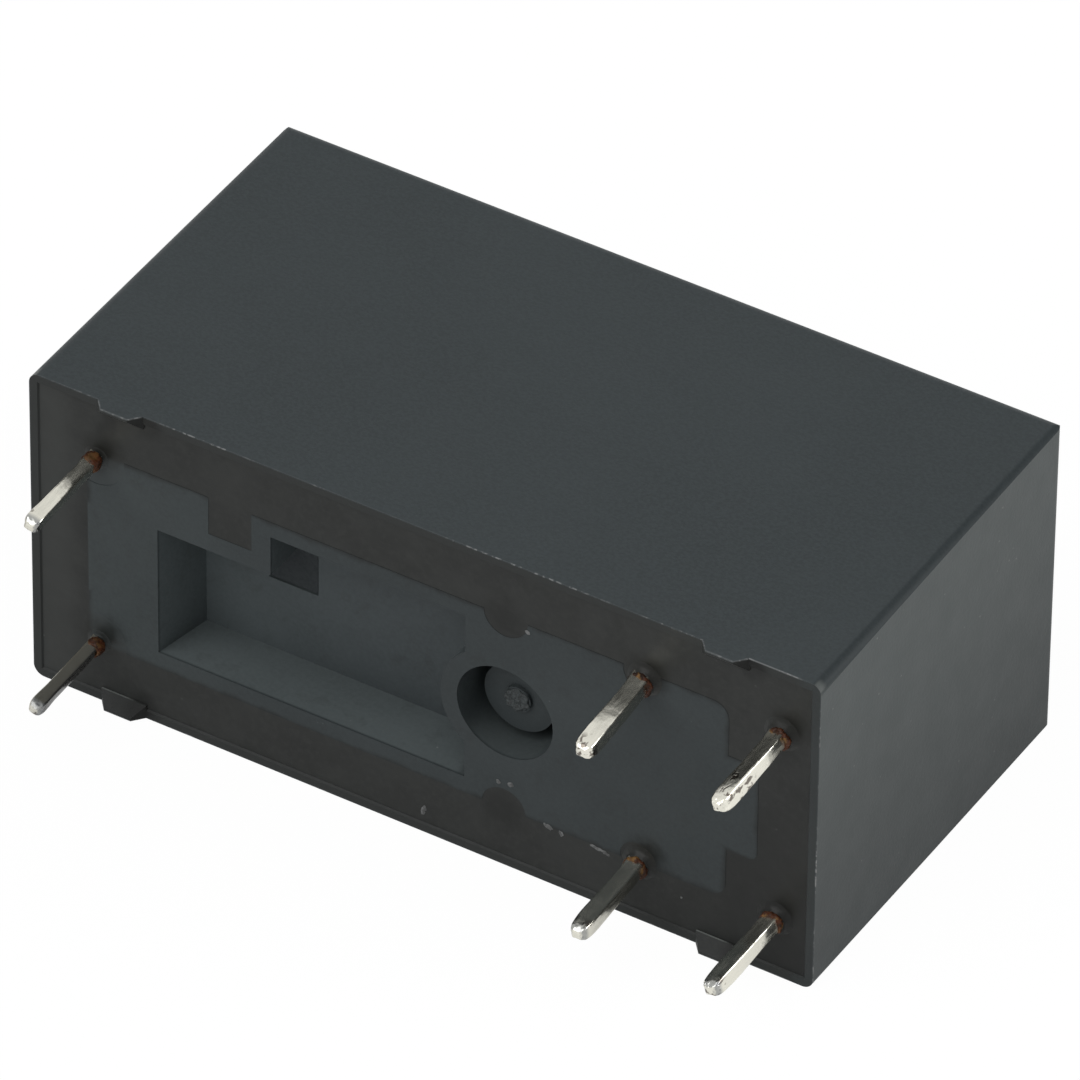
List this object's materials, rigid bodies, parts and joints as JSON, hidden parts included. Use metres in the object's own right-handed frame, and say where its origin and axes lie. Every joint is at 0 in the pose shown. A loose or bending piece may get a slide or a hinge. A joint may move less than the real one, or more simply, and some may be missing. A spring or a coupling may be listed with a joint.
{
  "type": "pcb power relay",
  "caption": "Low-profile box-shaped PCB power relay with a resin-sealed underside, solder pins, and a coil, armature, card and normally-open contact inside.",
  "frame": {"origin": "middle of the body on the board's seating plane, where the four stand-off feet touch the board", "axes": "+X along the body towards the contact end, -Y out of the underside along the pins, +Z across the pin rows; the relay lies on one long side, as in the picture"},
  "size_m": [0.0288, 0.019, 0.0122],
  "materials": {
    "cover_plastic": "fine matt moulding grain",
    "base_plastic": "satin moulding",
    "resin": "cast, satin, mottled",
    "magnet_steel": "dark phosphated steel",
    "bobbin_plastic": "glass-filled moulding",
    "enamelled_copper": "enamelled wire",
    "tape": "polyester film",
    "tinned_pin": "hot-tinned, uneven",
    "spring_bronze": "rolled strip",
    "card_plastic": "moulded",
    "contact_silver": "silver alloy"
  },
  "bodies": {
    "case": {"cover": "cover_plastic", "base": "base_plastic", "sealing_resin": "resin", "yoke": "magnet_steel", "core": "magnet_steel", "bobbin": "bobbin_plastic", "coil_winding": "enamelled_copper", "coil_tape": "tape", "coil_pin_a": "tinned_pin", "coil_pin_b": "tinned_pin", "coil_lead_a": "enamelled_copper", "coil_lead_b": "enamelled_copper", "hinge_spring": "spring_bronze", "com_terminal": "tinned_pin", "no_terminal": "tinned_pin", "spring_rivets": "spring_bronze", "fixed_contact": "contact_silver"},
    "armature": {"armature": "magnet_steel"},
    "card": {"card": "card_plastic"},
    "contact_spring": {"moving_spring": "spring_bronze", "moving_contact": "contact_silver"}
  },
  "joints": [
    {"name": "armature_tip", "type": "hinge", "parent": "case", "child": "armature", "pos_m": [-0.01135, 0.00355, 0], "axis": [0, 0, -1], "range_deg": [0, 4.3], "stiffness_Nm_per_rad": 0.02, "springref_deg": -5.73},
    {"name": "card_slide", "type": "slide", "parent": "case", "child": "card", "axis": [1, 0, 0], "range_m": [0, 0.00072]},
    {"name": "contact_bend", "type": "hinge", "parent": "case", "child": "contact_spring", "pos_m": [0.00835, 0.005, 0], "axis": [0, 0, -1], "range_deg": [0, 5.2], "deforming": ["moving_spring"]}
  ],
  "couplings": [
    {"joint": "card_slide", "follows": "armature_tip", "m_per_rad": 0.00947},
    {"joint": "contact_bend", "follows": "armature_tip", "ratio": 1.18}
  ]
}
